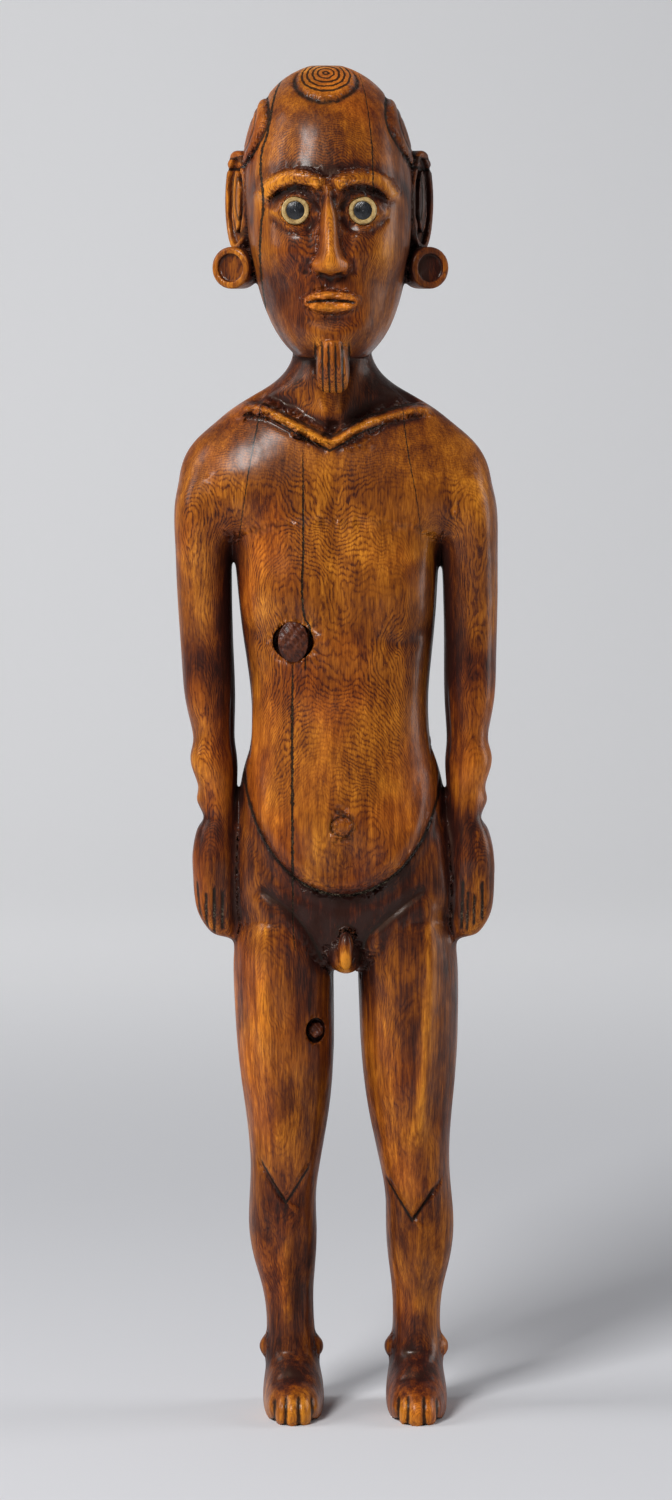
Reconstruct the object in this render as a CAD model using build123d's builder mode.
"""Standing ancestor figure carved from one billet of hardwood, with inlaid eyes.

Millimetres, +Z up. The figure faces -Y and its own left hand is at +X. The origin
lies on the ground plane, under the centre of the figure's bounding box.
"""

from build123d import *
from collections import namedtuple
from math import copysign, cos, pi, radians, sin, tan
import os

# ---- Stance -------------------------------------------------------------------
lean = 1.25  # degrees that the centre line leans towards the figure's right
foot_midline = 5.95  # sideways place of the centre line at the soles
outline_points = 16  # points on each cross-section

# ---- Levels above the soles ---------------------------------------------------
ankle_level = 25.0
calf_level = 57.0
knee_level = 75.0
thigh_level = 108.0
crotch_level = 137.0
hip_level = 158.0
navel_level = 183.0
belly_level = 206.0  # the belly's rounded lower edge starts here
waist_level = 215.0
chest_level = 250.0
armpit_level = 267.0
shoulder_level = 285.0
neck_level = 320.0
chin_level = 323.0
nose_level = 349.0
eye_level = 366.5
brow_level = 375.0
crown_level = 410.0

# ---- Widths and depths of the body --------------------------------------------
shoulder_half_width = 48.7
chest_half_width = 30.0
waist_half_width = 26.8
hip_half_width = 34.8
arm_spread = 40.2  # from the centre line to the middle of an upper arm
leg_spread = 19.0  # from the centre line to the middle of a thigh
thigh_half_width = 14.6
calf_half_width = 10.4
ankle_half_width = 7.4
foot_spread = 18.9
foot_half_width = 9.4
foot_front = 27.0
foot_back = 14.0
neck_half_width = 12.8

# ---- Head ---------------------------------------------------------------------
head_half_width = 25.3
head_centre_y = 0.5
head_front = 27.5
head_back = 31.9
eye_spread = 10.0  # from the centre line to an eye's centre
nose_root_y = -25.0
nose_rise = 7.5  # how far the tip stands in front of nose_root_y
ear_spread = 26.6
ear_half_height = 15.2
ear_half_width = 7.4
ear_thickness = 4.4
ear_rim = 2.2
ear_turn = 26.0  # degrees that the ears and their discs face forward
ear_disc_radius = 6.3
ear_disc_length = 9.0
ear_disc_spread = 28.2
ear_disc_level = 349.6
ear_disc_rim = 2.0
ear_disc_hollow = 1.3
boss_half_width = 8.8

# ---- Inlaid eyes --------------------------------------------------------------
eye_ring_radius = 4.1
eye_ring_wall = 1.35
eye_ring_length = 3.0
eye_ring_chamfer = 0.3
eye_ring_front_y = -24.9
eye_bed_thickness = 0.8
inlay_clearance = 0.05
pupil_length = 2.6
pupil_dome = 0.5

# ---- Knots --------------------------------------------------------------------
chest_knot_spread = 13.6
chest_knot_level = 238.0
chest_knot_half_width = 4.1
chest_knot_half_height = 5.4
chest_knot_length = 12.0
chest_knot_tip_y = -18.0
chest_knot_dome = 1.6
chest_knot_gap = 2.1  # shrinkage gap on each side of the knot
chest_knot_top_gap = 0.35
chest_knot_gap_depth = 5.0
thigh_knot_spread = 9.6  # from the centre line, on the figure's right
thigh_knot_level = 119.5
thigh_knot_radius = 2.9
thigh_knot_floor_y = -9.5
thigh_stub_radius = 1.9
thigh_stub_rooted = 2.4
thigh_stub_length = 4.0
thigh_stub_chamfer = 0.5

# ---- Carved lines and ridges --------------------------------------------------
belly_step = 1.8  # how far the belly stands proud of the groin
collar_width = 2.8
collar_rise = 1.1
brow_width = 4.2
brow_rise = 1.5
lip_rise = 1.3
crown_rise = 0.9
groove_width = 0.9
groove_depth = 1.1
toe_groove_depth = 1.8
toe_count = 5
toe_pitch = 3.5
finger_pitch = 2.9
knee_slip = 2.8  # the left knee's point is cut this much lower, the right one higher
navel_radius = 2.7
navel_rise = 0.7
ankle_bone_radius = 3.4
reach = 60.0  # longer than the figure is deep, for cutting bodies

# One cross-section of a limb: its level, how far its centre lies from the centre
# line and from the plane y = 0, its half width, its depth to the front and to the
# back of that centre, and how square it is (2 is an ellipse).
Station = namedtuple("Station", "level spread centre_y half_width front back square")

leg_stations = [
    Station(0.0, foot_spread, 2.0, foot_half_width - 0.6, foot_front - 1.2, foot_back - 0.6, 2.4),
    Station(3.5, foot_spread, 2.0, foot_half_width, foot_front, foot_back, 2.4),
    Station(7.5, foot_spread, 2.0, foot_half_width - 0.2, foot_front - 2.2, foot_back - 0.2, 2.3),
    Station(11.5, foot_spread, 2.0, foot_half_width - 0.8, foot_front - 7.6, foot_back - 1.6, 2.2),
    Station(15.0, foot_spread + 0.1, 2.0, ankle_half_width + 0.6, foot_front - 13.4, foot_back - 3.2, 2.1),
    Station(ankle_level - 5.5, foot_spread + 0.3, 2.0, ankle_half_width + 0.3, 9.6, 9.6, 2.0),
    Station(ankle_level, 19.3, 2.0, ankle_half_width, 8.3, 9.2, 2.0),
    Station(ankle_level + 13.0, 19.9, 1.8, ankle_half_width + 0.5, 8.4, 10.2, 2.1),
    Station(calf_level - 10.0, 20.6, 1.4, calf_half_width - 0.9, 9.8, 13.0, 2.2),
    Station(calf_level, 21.0, 1.0, calf_half_width, 10.6, 13.6, 2.3),
    Station(knee_level - 8.0, 20.8, 0.2, calf_half_width - 0.2, 11.6, 12.2, 2.3),
    Station(knee_level, 20.0, 0.0, calf_half_width + 0.1, 12.6, 11.4, 2.3),
    Station(knee_level + 15.0, 18.9, 0.0, thigh_half_width - 2.3, 14.2, 13.2, 2.3),
    Station(thigh_level, 18.8, 0.3, thigh_half_width - 0.2, 15.8, 15.6, 2.3),
    Station(crotch_level - 10.0, leg_spread, 1.0, thigh_half_width + 0.6, 17.0, 17.0, 2.3),
    Station(crotch_level + 2.0, leg_spread, 1.2, thigh_half_width + 0.7, 17.4, 17.6, 2.3),
    Station(crotch_level + 15.0, leg_spread - 1.4, 1.4, thigh_half_width - 0.2, 16.6, 16.0, 2.3),
]
pelvis_stations = [
    Station(crotch_level, 0.0, 1.5, 9.0, 9.0, 11.0, 2.2),
    Station(crotch_level + 2.5, 0.0, 1.5, 20.0, 13.4, 16.4, 2.4),
    Station(crotch_level + 7.5, 0.0, 1.5, hip_half_width - 6.0, 16.8, 20.8, 2.5),
    Station(crotch_level + 13.5, 0.0, 1.5, hip_half_width - 2.0, 18.4, 23.0, 2.5),
    Station(hip_level + 1.0, 0.0, 1.5, hip_half_width, 19.2, 23.5, 2.5),
    Station(hip_level + 15.0, 0.0, 1.0, hip_half_width - 1.2, 20.4, 22.0, 2.4),
    Station(belly_level - 18.0, 0.0, 0.5, hip_half_width - 3.4, 19.8, 17.5, 2.3),
    Station(belly_level - 6.0, 0.0, 0.0, hip_half_width - 5.6, 17.4, 14.8, 2.2),
    Station(belly_level + 4.0, 0.0, 0.0, waist_half_width - 0.6, 14.5, 13.0, 2.2),
]
torso_stations = [
    Station(hip_level + 1.0, 0.0, 0.0, waist_half_width + 2.0, 19.4 + belly_step, 12.0, 2.5),
    Station(hip_level + 15.0, 0.0, 0.0, waist_half_width + 2.8, 21.2 + belly_step, 12.0, 2.5),
    Station(belly_level - 18.0, 0.0, 0.0, waist_half_width + 2.6, 21.4 + belly_step, 12.5, 2.4),
    Station(belly_level - 3.0, 0.0, 0.0, waist_half_width + 0.8, 19.8 + belly_step, 13.4, 2.4),
    Station(waist_level + 3.0, 0.0, 0.0, waist_half_width, 19.8, 14.4, 2.4),
    Station(waist_level + 18.0, 0.0, 0.5, waist_half_width + 1.4, 18.8, 15.4, 2.4),
    Station(chest_level, 0.0, 1.0, chest_half_width, 19.2, 17.0, 2.5),
    Station(armpit_level, 0.0, 1.0, chest_half_width + 1.2, 17.6, 17.4, 2.6),
    Station(armpit_level + 10.0, 0.0, 1.0, chest_half_width - 1.0, 14.0, 15.2, 2.6),
]
yoke_stations = [
    Station(armpit_level + 2.5, 0.0, 1.0, shoulder_half_width - 9.0, 10.0, 11.0, 2.4),
    Station(armpit_level + 9.0, 0.0, 1.0, shoulder_half_width - 2.4, 15.4, 16.2, 2.6),
    Station(shoulder_level, 0.0, 1.2, shoulder_half_width - 1.2, 17.0, 17.8, 2.6),
    Station(shoulder_level + 6.5, 0.0, 1.5, shoulder_half_width - 2.6, 16.2, 17.2, 2.4),
    Station(shoulder_level + 12.0, 0.0, 1.8, shoulder_half_width - 6.0, 15.0, 16.2, 2.2),
    Station(shoulder_level + 18.0, 0.0, 2.2, shoulder_half_width - 12.7, 13.6, 15.0, 2.0),
    Station(shoulder_level + 24.0, 0.0, 2.8, shoulder_half_width - 20.7, 12.4, 14.0, 2.0),
    Station(neck_level - 5.0, 0.0, 3.2, neck_half_width + 5.4, 12.2, 13.6, 2.0),
    Station(neck_level + 1.0, 0.0, 3.6, neck_half_width, 12.4, 13.4, 2.0),
    Station(neck_level + 11.0, 0.0, 4.4, neck_half_width - 0.2, 12.6, 13.6, 2.0),
    Station(neck_level + 26.0, 0.0, 4.4, neck_half_width - 0.4, 12.6, 13.8, 2.0),
]
arm_stations = [
    Station(shoulder_level + 5.0, arm_spread - 3.6, 1.5, 7.0, 10.4, 11.4, 2.2),
    Station(shoulder_level - 4.0, arm_spread - 0.6, 1.5, 8.9, 13.6, 14.4, 2.2),
    Station(armpit_level + 4.0, arm_spread, 1.5, 8.9, 13.4, 14.2, 2.2),
    Station(armpit_level - 7.0, arm_spread + 0.1, 1.5, 8.5, 11.8, 12.6, 2.2),
    Station(chest_level, arm_spread + 0.1, 1.4, 8.3, 10.4, 11.2, 2.2),
    Station(chest_level - 16.0, arm_spread - 0.3, 1.2, 8.0, 9.4, 10.2, 2.2),
    Station(waist_level + 7.0, arm_spread - 0.7, 0.6, 7.8, 9.0, 9.6, 2.2),
    Station(belly_level, arm_spread - 1.7, -0.6, 6.4, 8.0, 8.2, 2.2),
    Station(belly_level - 15.0, arm_spread - 2.8, -2.0, 5.5, 6.8, 7.0, 2.2),
    Station(belly_level - 22.0, arm_spread - 2.6, -2.6, 5.6, 6.6, 7.2, 2.2),
    Station(hip_level + 20.0, arm_spread - 1.8, -3.0, 6.7, 6.8, 9.0, 2.3),
    Station(hip_level + 10.0, arm_spread - 1.4, -3.2, 7.3, 6.8, 10.0, 2.4),
    Station(hip_level + 1.0, arm_spread - 1.6, -3.4, 7.2, 6.6, 10.0, 2.4),
    Station(hip_level - 6.0, arm_spread - 2.6, -3.4, 6.3, 6.0, 9.0, 2.4),
    Station(hip_level - 11.0, arm_spread - 4.2, -3.4, 4.4, 4.6, 7.0, 2.3),
]
head_stations = [
    Station(chin_level, 0.0, head_centre_y, 10.6, head_front - 5.0, 8.0, 2.3),
    Station(chin_level + 5.0, 0.0, head_centre_y, 15.2, head_front - 2.0, 12.0, 2.3),
    Station(chin_level + 12.0, 0.0, head_centre_y, 19.0, head_front - 1.0, 17.0, 2.3),
    Station(chin_level + 20.0, 0.0, head_centre_y, 21.6, head_front - 0.8, 21.5, 2.3),
    Station(chin_level + 29.0, 0.0, head_centre_y, 23.6, head_front - 0.6, 26.0, 2.3),
    Station(eye_level - 5.5, 0.0, head_centre_y, 24.7, head_front - 0.4, 29.5, 2.3),
    Station(eye_level + 4.5, 0.0, head_centre_y, head_half_width, head_front, head_back - 0.4, 2.2),
    Station(eye_level + 13.0, 0.0, head_centre_y, head_half_width - 0.2, head_front - 0.6, head_back, 2.2),
    Station(crown_level - 22.5, 0.0, head_centre_y, head_half_width - 1.7, head_front - 2.8, head_back - 1.6, 2.1),
    Station(crown_level - 14.0, 0.0, head_centre_y, head_half_width - 4.6, head_front - 6.8, head_back - 5.6, 2.1),
    Station(crown_level - 7.5, 0.0, 1.1, head_half_width - 8.6, head_front - 12.0, head_back - 11.6, 2.0),
    Station(crown_level - 3.0, 0.0, 1.7, head_half_width - 13.8, head_front - 17.8, head_back - 18.6, 2.0),
    Station(crown_level, 0.0, 2.3, head_half_width - 20.6, head_front - 23.6, head_back - 26.8, 2.0),
]
nose_stations = [
    Station(brow_level - 1.0, 0.0, nose_root_y, 1.9, nose_rise - 4.0, 5.0, 2.0),
    Station(eye_level - 0.5, 0.0, nose_root_y, 2.3, nose_rise - 2.9, 5.0, 2.0),
    Station(nose_level + 8.5, 0.0, nose_root_y, 3.0, nose_rise - 1.3, 5.0, 2.0),
    Station(nose_level + 3.0, 0.0, nose_root_y, 4.3, nose_rise, 5.0, 2.0),
    Station(nose_level, 0.0, nose_root_y, 4.9, nose_rise - 1.0, 5.0, 2.1),
    Station(nose_level - 1.6, 0.0, nose_root_y, 4.0, nose_rise - 3.4, 5.0, 2.2),
]
beard_stations = [
    Station(chin_level + 5.0, 0.0, -21.0, 3.4, 5.6, 4.0, 2.2),
    Station(chin_level - 0.5, 0.0, -20.5, 4.9, 7.4, 4.0, 2.4),
    Station(chin_level - 6.5, 0.0, -20.0, 4.9, 6.6, 4.2, 2.4),
    Station(chin_level - 10.5, 0.0, -19.6, 3.3, 4.4, 3.0, 2.2),
]


def midline(level):
    """Sideways place of the figure's centre line at a level."""
    return foot_midline - tan(radians(lean)) * level


def ring(station, side, grow):
    """Points of a station's rounded outline, seen from above."""
    points = []
    for step in range(outline_points):
        angle = 2 * pi * step / outline_points
        across, along = cos(angle), sin(angle)
        depth = station.front if along < 0 else station.back
        power = 2 / station.square
        x = copysign(abs(across) ** power, across) * (station.half_width + grow)
        y = copysign(abs(along) ** power, along) * (depth + grow)
        centre_x = midline(station.level) + side * station.spread
        points.append((centre_x + x, station.centre_y + y))
    return points


def limb(stations, side=1, grow=0.0):
    """A smooth solid through its stations, on the figure's left (1) or right (-1)."""
    with BuildPart() as made:
        for station in stations:
            with BuildSketch(Plane.XY.offset(station.level)):
                with BuildLine():
                    Spline(*ring(station, side, grow), periodic=True)
                make_face()
        loft()
    return made.part


def front_bar(points, width):
    """A bar of that width along a smooth line drawn on the front view, running backwards from the front to y = 0."""
    with BuildPart() as bar:
        with BuildSketch(Plane.XZ):
            with BuildLine():
                Spline(*points)
            trace(line_width=width)
        extrude(amount=reach)
    return bar.part


def ellipsoid(centre, radii):
    """A ball stretched to its three radii."""
    with BuildPart() as ball:
        Sphere(1, rotation=(90, 0, 0))
        scale(by=radii)
    return Pos(*centre) * ball.part


def front_axis(x, y, level, turn=0.0):
    """A plane whose normal points to the front, turned outwards by an angle about +Z."""
    normal = (sin(radians(turn)), -cos(radians(turn)), 0)
    return Plane(origin=(x, y, level), x_dir=(cos(radians(turn)), sin(radians(turn)), 0), z_dir=normal)


def belly_shape():
    """The torso, its lower end trimmed to a rounded edge across the belly."""
    middle = midline(hip_level + 20)
    with BuildPart() as window:
        with BuildSketch(Plane.XZ):
            with Locations((middle, belly_level)):
                Ellipse(waist_half_width + 3.4, belly_level - hip_level - 4.0)
            with Locations((middle, belly_level + reach)):
                Rectangle(2 * reach, 2 * reach)
        extrude(amount=reach, both=True)
        add(limb(torso_stations), mode=Mode.INTERSECT)
    return window.part


def collar_ridge(side):
    """One arm of the V-shaped ridge along a collar bone."""
    foot = midline(298)
    points = [
        (foot - side * 0.6, shoulder_level + 13.0),
        (foot + side * 7.0, shoulder_level + 16.2),
        (foot + side * 15.0, shoulder_level + 19.6),
        (foot + side * 22.0, shoulder_level + 22.2),
        (foot + side * 28.0, shoulder_level + 22.6),
    ]
    return front_bar(points, collar_width) & limb(yoke_stations, grow=collar_rise)


def brow(side):
    """One gently arched brow, standing proud of the forehead."""
    foot = midline(brow_level)
    points = [
        (foot + side * 2.0, brow_level - 1.0),
        (foot + side * 9.0, brow_level + 1.4),
        (foot + side * 15.5, brow_level - 0.2),
        (foot + side * 20.0, brow_level - 4.6),
    ]
    return front_bar(points, brow_width) & limb(head_stations, grow=brow_rise)


def lips():
    """Closed lips, level and symmetrical."""
    foot = midline(nose_level - 9)
    with BuildPart() as pair:
        with BuildSketch(Plane.XZ):
            with Locations((foot, nose_level - 9.4)):
                Ellipse(8.2, 3.1)
        extrude(amount=reach)
        add(limb(head_stations, grow=lip_rise), mode=Mode.INTERSECT)
    return pair.part


def ear(side):
    """An ear with a rolled rim and an inner fold, its face turned a little forward."""
    x = midline(eye_level) + side * ear_spread
    plane = front_axis(x, 3.0, eye_level + 3.0, side * (90 - ear_turn))
    with BuildPart() as shell:
        with BuildSketch(plane.offset(-ear_thickness / 2)):
            Ellipse(ear_half_width, ear_half_height)
        extrude(amount=ear_thickness)
        fillet(shell.faces().sort_by(Axis(plane.origin, plane.z_dir))[-1].edges(), 0.9)
        with BuildSketch(plane.offset(ear_thickness / 2)):
            Ellipse(ear_half_width - ear_rim, ear_half_height - ear_rim)
        extrude(amount=-ear_rim + 0.4, mode=Mode.SUBTRACT)
        with BuildSketch(plane.offset(-0.2)):
            Ellipse(ear_half_width - 2 * ear_rim, ear_half_height - 2.6 * ear_rim)
        extrude(amount=ear_thickness / 2)
    return shell.part


def ear_disc(side):
    """The round plug worn in a stretched ear lobe, dished on both faces."""
    plane = front_axis(midline(ear_disc_level) + side * ear_disc_spread, -1.5, ear_disc_level, side * ear_turn)
    with BuildPart() as disc:
        with BuildSketch(plane.offset(-ear_disc_length / 2)):
            Circle(ear_disc_radius)
        extrude(amount=ear_disc_length)
        fillet(disc.edges().filter_by(GeomType.CIRCLE), 0.9)
        for end in (-1, 1):
            with BuildSketch(plane.offset(end * ear_disc_length / 2)):
                Circle(ear_disc_radius - ear_disc_rim)
            extrude(amount=-end * ear_disc_hollow, mode=Mode.SUBTRACT)
    return disc.part


def crown_carving():
    """The low relief on the crown: a round boss in front and an oval panel on each side."""
    with BuildPart() as relief:
        with BuildSketch(Plane.XY.offset(crown_level - 22)):
            with Locations((midline(crown_level), -8.0)):
                Ellipse(boss_half_width, boss_half_width + 0.8)
        extrude(amount=reach)
        with BuildSketch(Plane.YZ):
            with Locations((4.0, crown_level - 20)):
                Ellipse(17.0, 10.5)
        extrude(amount=reach, both=True)
        with BuildSketch(Plane.XY.offset(crown_level - 40)):
            with Locations((midline(crown_level), 0)):
                Rectangle(2 * (head_half_width - 9.5), 2 * reach)
                Ellipse(boss_half_width, reach, mode=Mode.SUBTRACT)
        add(limb(head_stations, grow=crown_rise), mode=Mode.INTERSECT)
    return relief.part


def sex():
    """The small carved sex, between the thighs."""
    x = midline(crotch_level)
    shaft = ellipsoid((x, -18.6, crotch_level + 7.5), (2.5, 3.0, 6.2))
    pouch = ellipsoid((x, -13.5, crotch_level + 5.6), (5.4, 5.2, 5.6))
    return shaft, pouch


def navel():
    """The button navel."""
    plane = front_axis(midline(navel_level), 0, navel_level)
    with BuildPart() as button:
        with BuildSketch(plane):
            Circle(navel_radius)
        extrude(amount=reach)
        add(limb(torso_stations, grow=navel_rise), mode=Mode.INTERSECT)
    return button.part


def ankle_bones(side):
    """The two ankle bones of one leg."""
    x = midline(ankle_level - 5) + side * 19.2
    spot = ankle_half_width - 0.4
    return [ellipsoid((x + end * spot, 2.0, ankle_level - 5.5), (2.4, 3.4, ankle_bone_radius)) for end in (-1, 1)]


def toe_grooves(side):
    """The grooves between the toes of one foot, cut from above and from the front."""
    x = midline(5) + side * foot_spread
    with BuildPart() as cuts:
        with BuildSketch(Plane.XY):
            for number in range(toe_count - 1):
                place = (number - (toe_count - 2) / 2) * toe_pitch
                with Locations((x + place, -reach / 2 - 12)):
                    Rectangle(groove_width, reach)
        extrude(amount=ankle_level - 8.0)
        add(limb(leg_stations, side, grow=-toe_groove_depth), mode=Mode.SUBTRACT)
    return cuts.part


def finger_grooves(side):
    """The grooves between the fingers of one hand."""
    x = midline(hip_level) + side * (arm_spread - 1.4)
    with BuildPart() as cuts:
        with BuildSketch(Plane.XZ):
            for number in range(4):
                place = side * ((number - 1.5) * finger_pitch + 1.0)
                with Locations((x + place, hip_level - 2.0)):
                    Rectangle(groove_width, 17.0)
        extrude(amount=reach)
        add(limb(arm_stations, side, grow=-groove_depth), mode=Mode.SUBTRACT)
    return cuts.part


def knee_groove(side):
    """The pointed groove under one knee cap."""
    x = midline(knee_level) + side * 20.0
    tip = knee_level - 10.6 - side * knee_slip
    with BuildPart() as cut:
        with BuildSketch(Plane.XZ):
            with BuildLine():
                Polyline((x - 8.0, tip + 11.4), (x - 0.6, tip), (x + 7.6, tip + 11.4))
            trace(line_width=groove_width)
        extrude(amount=reach)
        add(limb(leg_stations, side, grow=-groove_depth), mode=Mode.SUBTRACT)
    return cut.part


def eye_mound(side):
    """The carved lids round one eye."""
    return ellipsoid((midline(eye_level) + side * eye_spread, -19.3, eye_level), (8.0, 6.0, 6.3))


def orbit(side):
    """The shallow hollow round one eye."""
    return ellipsoid((midline(eye_level) + side * (eye_spread + 0.6), -28.4, eye_level - 1.5), (9.6, 5.0, 6.8))


def eye_plane(side, y):
    """A plane across one eye, its normal to the front."""
    return front_axis(midline(eye_level) + side * eye_spread, y, eye_level)


def eye_socket(side):
    """The flat-bottomed bore that takes one inlaid eye."""
    with BuildPart() as bore:
        with BuildSketch(eye_plane(side, eye_ring_front_y + eye_ring_length + eye_bed_thickness)):
            Circle(eye_ring_radius + inlay_clearance)
        extrude(amount=reach)
    return bore.part


def mouth_line():
    """The closed mouth."""
    foot = midline(nose_level - 9)
    level = nose_level - 9.2
    points = [(foot - 7.4, level), (foot - 3.0, level + 0.2), (foot + 3.0, level + 0.2), (foot + 7.4, level)]
    return front_bar(points, 0.8) - limb(head_stations, grow=lip_rise - 0.9)


def beard_grooves():
    """The combed lines of the short chin tuft."""
    with BuildPart() as cuts:
        with BuildSketch(Plane.XZ):
            with Locations((midline(chin_level), chin_level - 6)):
                with GridLocations(2.2, 1, 4, 1):
                    Rectangle(0.6, 13)
        extrude(amount=reach)
        add(limb(beard_stations, grow=-0.7), mode=Mode.SUBTRACT)
    return cuts.part


def seat_cleft():
    """The cleft between the buttocks."""
    with BuildPart() as cut:
        with BuildSketch(Plane.XZ):
            with Locations((midline(hip_level), hip_level - 2)):
                Ellipse(1.2, 19)
        extrude(amount=-reach)
        add(limb(pelvis_stations, grow=-2.6), mode=Mode.SUBTRACT)
    return cut.part


def chest_knot_recess():
    """The knot's snug bore and, near the surface, the wider hole left by shrinkage."""
    x = midline(chest_knot_level) - chest_knot_spread
    plane = front_axis(x, chest_knot_tip_y + chest_knot_length, chest_knot_level)
    with BuildPart() as hole:
        with BuildSketch(plane):
            Ellipse(chest_knot_half_width + inlay_clearance, chest_knot_half_height + inlay_clearance)
        extrude(amount=reach)
        with BuildSketch(plane.offset(chest_knot_length - chest_knot_dome - chest_knot_gap_depth)):
            Ellipse(chest_knot_half_width + chest_knot_gap, chest_knot_half_height + chest_knot_top_gap)
        extrude(amount=reach)
    return hole.part


def thigh_knot_recess():
    """The hole of the broken knot and the bore that holds its stub."""
    x = midline(thigh_knot_level) - thigh_knot_spread
    plane = front_axis(x, thigh_knot_floor_y, thigh_knot_level)
    with BuildPart() as hole:
        with BuildSketch(plane):
            Ellipse(thigh_knot_radius, thigh_knot_radius + 1.1)
        extrude(amount=reach)
        with BuildSketch(plane.offset(-thigh_stub_rooted)):
            Circle(thigh_stub_radius + inlay_clearance)
        extrude(amount=thigh_stub_rooted)
    return hole.part


def eye_ring(side):
    """The bone ring set round one pupil."""
    with BuildPart() as bone:
        with BuildSketch(eye_plane(side, eye_ring_front_y + eye_ring_length)):
            Circle(eye_ring_radius)
            Circle(eye_ring_radius - eye_ring_wall, mode=Mode.SUBTRACT)
        extrude(amount=eye_ring_length)
        chamfer(bone.faces().sort_by(Axis.Y)[0].edges(), eye_ring_chamfer)
    return bone.part


def pupil(side):
    """The polished stone set in one bone ring, slightly domed."""
    radius = eye_ring_radius - eye_ring_wall - inlay_clearance
    dome_radius = (radius**2 + pupil_dome**2) / (2 * pupil_dome)
    back = eye_ring_front_y + eye_ring_length
    with BuildPart() as stone:
        with BuildSketch(eye_plane(side, back)):
            Circle(radius)
        extrude(amount=pupil_length + pupil_dome)
        with Locations(eye_plane(side, back - pupil_length - pupil_dome + dome_radius)):
            Sphere(dome_radius, mode=Mode.INTERSECT)
    return stone.part


def eye_bed(side):
    """The thin layer of mastic behind one inlaid eye."""
    with BuildPart() as mastic:
        with BuildSketch(eye_plane(side, eye_ring_front_y + eye_ring_length + eye_bed_thickness)):
            Circle(eye_ring_radius)
        extrude(amount=eye_bed_thickness)
    return mastic.part


with BuildPart() as figure:
    add(limb(pelvis_stations))
    add(belly_shape())
    add(limb(yoke_stations))
    add(limb(head_stations))
    for side in (-1, 1):
        add(limb(arm_stations, side))
        add(limb(leg_stations, side))
    # face
    for side in (-1, 1):
        add(orbit(side), mode=Mode.SUBTRACT)
        add(eye_mound(side))
        add(brow(side))
    add(lips())
    add(limb(nose_stations))
    add(limb(beard_stations))
    # crown and ears
    add(crown_carving())
    for side in (-1, 1):
        add(ear(side))
        add(ear_disc(side))
    # body relief
    for side in (-1, 1):
        add(collar_ridge(side))
        add(ankle_bones(side))
    add(navel())
    add(sex())
    # grooves
    add(mouth_line(), mode=Mode.SUBTRACT)
    add(beard_grooves(), mode=Mode.SUBTRACT)
    add(seat_cleft(), mode=Mode.SUBTRACT)
    for side in (-1, 1):
        add(knee_groove(side), mode=Mode.SUBTRACT)
        add(toe_grooves(side), mode=Mode.SUBTRACT)
        add(finger_grooves(side), mode=Mode.SUBTRACT)
        add(eye_socket(side), mode=Mode.SUBTRACT)
    add(chest_knot_recess(), mode=Mode.SUBTRACT)
    add(thigh_knot_recess(), mode=Mode.SUBTRACT)

with BuildPart() as left_ring:
    add(eye_ring(1))

with BuildPart() as right_ring:
    add(eye_ring(-1))

with BuildPart() as left_stone:
    add(pupil(1))

with BuildPart() as right_stone:
    add(pupil(-1))

with BuildPart() as left_bed:
    add(eye_bed(1))

with BuildPart() as right_bed:
    add(eye_bed(-1))

with BuildPart() as chest_knot:
    knot_x = midline(chest_knot_level) - chest_knot_spread
    knot_plane = front_axis(knot_x, chest_knot_tip_y + chest_knot_length, chest_knot_level)
    dome_radius = (chest_knot_half_height**2 + chest_knot_dome**2) / (2 * chest_knot_dome)
    with BuildSketch(knot_plane):
        Ellipse(chest_knot_half_width, chest_knot_half_height)
    extrude(amount=chest_knot_length)
    with Locations((knot_x, chest_knot_tip_y + dome_radius, chest_knot_level)):
        Sphere(dome_radius, mode=Mode.INTERSECT)

with BuildPart() as thigh_knot:
    stub_x = midline(thigh_knot_level) - thigh_knot_spread
    with BuildSketch(front_axis(stub_x, thigh_knot_floor_y + thigh_stub_rooted, thigh_knot_level)):
        Circle(thigh_stub_radius)
    extrude(amount=thigh_stub_length)
    chamfer(thigh_knot.faces().sort_by(Axis.Y)[0].edges(), thigh_stub_chamfer)

figure.part.label = "carved_figure"
left_ring.part.label = "left_eye_ring"
right_ring.part.label = "right_eye_ring"
left_stone.part.label = "left_pupil"
right_stone.part.label = "right_pupil"
left_bed.part.label = "left_eye_bed"
right_bed.part.label = "right_eye_bed"
chest_knot.part.label = "chest_knot"
thigh_knot.part.label = "thigh_knot"

os.makedirs("parts", exist_ok=True)
export_step(figure.part, "parts/carved_figure.step")
export_step(left_ring.part, "parts/left_eye_ring.step")
export_step(right_ring.part, "parts/right_eye_ring.step")
export_step(left_stone.part, "parts/left_pupil.step")
export_step(right_stone.part, "parts/right_pupil.step")
export_step(left_bed.part, "parts/left_eye_bed.step")
export_step(right_bed.part, "parts/right_eye_bed.step")
export_step(chest_knot.part, "parts/chest_knot.step")
export_step(thigh_knot.part, "parts/thigh_knot.step")
